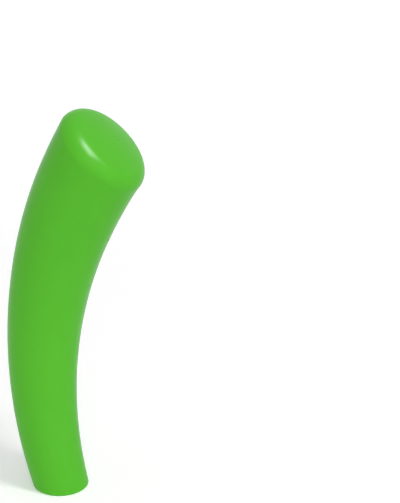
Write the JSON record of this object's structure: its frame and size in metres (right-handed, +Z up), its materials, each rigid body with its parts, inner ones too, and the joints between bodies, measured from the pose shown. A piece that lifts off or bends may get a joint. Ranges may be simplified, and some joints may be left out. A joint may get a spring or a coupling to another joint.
{
  "type": "water squirt post",
  "caption": "Curved, flared free-standing water-play post for a splash pad, with two aimable flush jets, a valve behind a rear hatch and a bolt-down foot.",
  "frame": {"origin": "centre of the round foot on the ground, where the foot plate meets the floor", "axes": "+Z up, +X the way the head leans and the jets point, the post bends in the XZ plane"},
  "size_m": [0.4083, 0.275, 1.1403],
  "materials": {
    "shell_plastic": "moulded, through-coloured, smooth gloss",
    "jet_plastic": "turned acetal in the body colour, satin gloss",
    "tip_acetal": "natural acetal, fine turned",
    "stainless_plate": "laser cut and pickled",
    "stainless_pipe": "drawn and pickled, tinted at the welds",
    "stainless_bright": "cold formed, bright",
    "brass_plain": "turned brass",
    "valve_brass": "forged and nickel plated, matt",
    "valve_chrome": "polished",
    "handle_coating": "powder coated",
    "seal_rubber": "moulded, matt",
    "seat_ptfe": "turned PTFE"
  },
  "bodies": {
    "post": {"access_cover": "shell_plastic", "base_plate": "stainless_plate", "branch_pipe": "stainless_pipe", "cover_gasket": "seal_rubber", "cover_inserts": "brass_plain", "cover_screws": "stainless_bright", "foot_inserts": "brass_plain", "foot_screws": "stainless_bright", "gland_nut": "valve_brass", "inlet_nipple": "valve_brass", "inlet_socket": "stainless_pipe", "lower_gasket": "seal_rubber", "lower_housing": "jet_plastic", "lower_insert": "brass_plain", "lower_seals": "seal_rubber", "lower_seat": "seat_ptfe", "lower_socket": "stainless_pipe", "lower_tail": "brass_plain", "riser_collar": "stainless_pipe", "riser_pipe": "stainless_pipe", "shell": "shell_plastic", "stem_packing": "seat_ptfe", "union_nut": "valve_brass", "union_tail": "valve_brass", "upper_gasket": "seal_rubber", "upper_housing": "jet_plastic", "upper_insert": "brass_plain", "upper_seals": "seal_rubber", "upper_seat": "seat_ptfe", "upper_socket": "stainless_pipe", "upper_tail": "brass_plain", "valve_body": "valve_brass", "valve_end": "valve_brass", "valve_seats": "seat_ptfe"},
    "valve_core": {"valve_ball": "valve_chrome", "valve_stem": "stainless_bright", "valve_handle": "handle_coating", "handle_nut": "stainless_bright"},
    "upper_ring": {"upper_swivel": "jet_plastic", "upper_pins": "stainless_bright"},
    "upper_eye": {"upper_ball": "jet_plastic", "upper_tip": "tip_acetal"},
    "lower_ring": {"lower_swivel": "jet_plastic", "lower_pins": "stainless_bright"},
    "lower_eye": {"lower_ball": "jet_plastic", "lower_tip": "tip_acetal"}
  },
  "joints": [
    {"name": "valve_turn", "type": "hinge", "parent": "post", "child": "valve_core", "pos_m": [0, 0, 0.0845], "axis": [-1, 0, 0], "range_deg": [0, 90]},
    {"name": "upper_jet_spin", "type": "hinge", "parent": "post", "child": "upper_ring", "pos_m": [0.19336, 0, 1.06735], "axis": [0.704, 0, 0.7102], "continuous": true},
    {"name": "upper_jet_tilt", "type": "hinge", "parent": "upper_ring", "child": "upper_eye", "pos_m": [0.19336, 0, 1.06735], "axis": [0, 1, 0], "range_deg": [-32, 32]},
    {"name": "lower_jet_spin", "type": "hinge", "parent": "post", "child": "lower_ring", "pos_m": [0.16559, 0, 0.78746], "axis": [0.8989, 0, -0.4382], "continuous": true},
    {"name": "lower_jet_tilt", "type": "hinge", "parent": "lower_ring", "child": "lower_eye", "pos_m": [0.16559, 0, 0.78746], "axis": [0, 1, 0], "range_deg": [-2, 62]}
  ]
}
